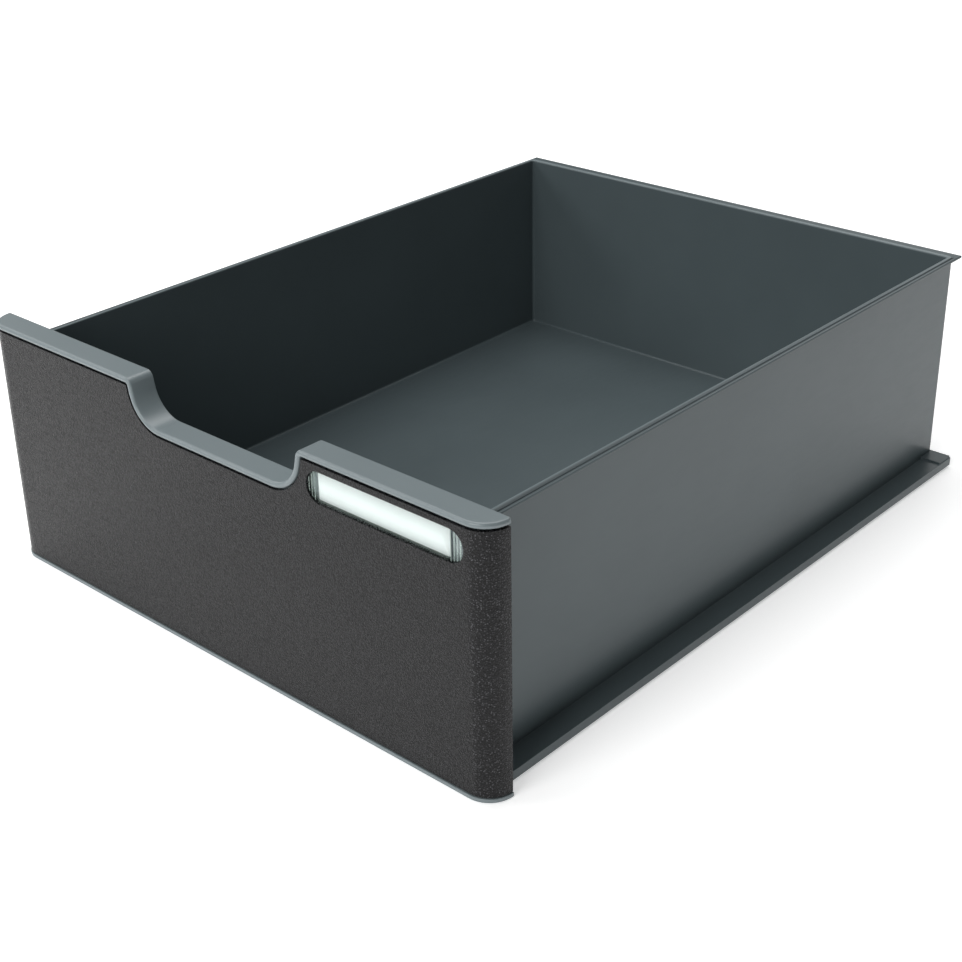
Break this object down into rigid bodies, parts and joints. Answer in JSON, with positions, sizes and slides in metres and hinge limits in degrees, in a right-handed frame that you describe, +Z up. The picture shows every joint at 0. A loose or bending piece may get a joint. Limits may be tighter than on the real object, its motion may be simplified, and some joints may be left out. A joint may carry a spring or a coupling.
{
  "type": "desktop file drawer",
  "caption": "Open plastic drawer of a desktop file box: deep tray with side runner flanges, textured front with finger notch and label window.",
  "frame": {"origin": "centre of the bounding box's underside, on the surface that the drawer stands on", "axes": "+Z up, +Y towards the rear of the drawer (it is pulled out towards -Y), +X to the right seen from the front"},
  "size_m": [0.28, 0.3426, 0.1106],
  "materials": {
    "tray_grey": "satin moulded polystyrene, dark grey",
    "carrier_grey": "satin moulded polystyrene, grey",
    "facing_black": "fine spark-eroded texture, black",
    "clear_plastic": "clear moulded polystyrene, polished",
    "label_paper": "plain white card"
  },
  "bodies": {
    "root": {"drawer_tray": "tray_grey", "front_carrier": "carrier_grey", "front_facing": "facing_black", "label_window": "clear_plastic", "label_card": "label_paper"}
  },
  "joints": []
}
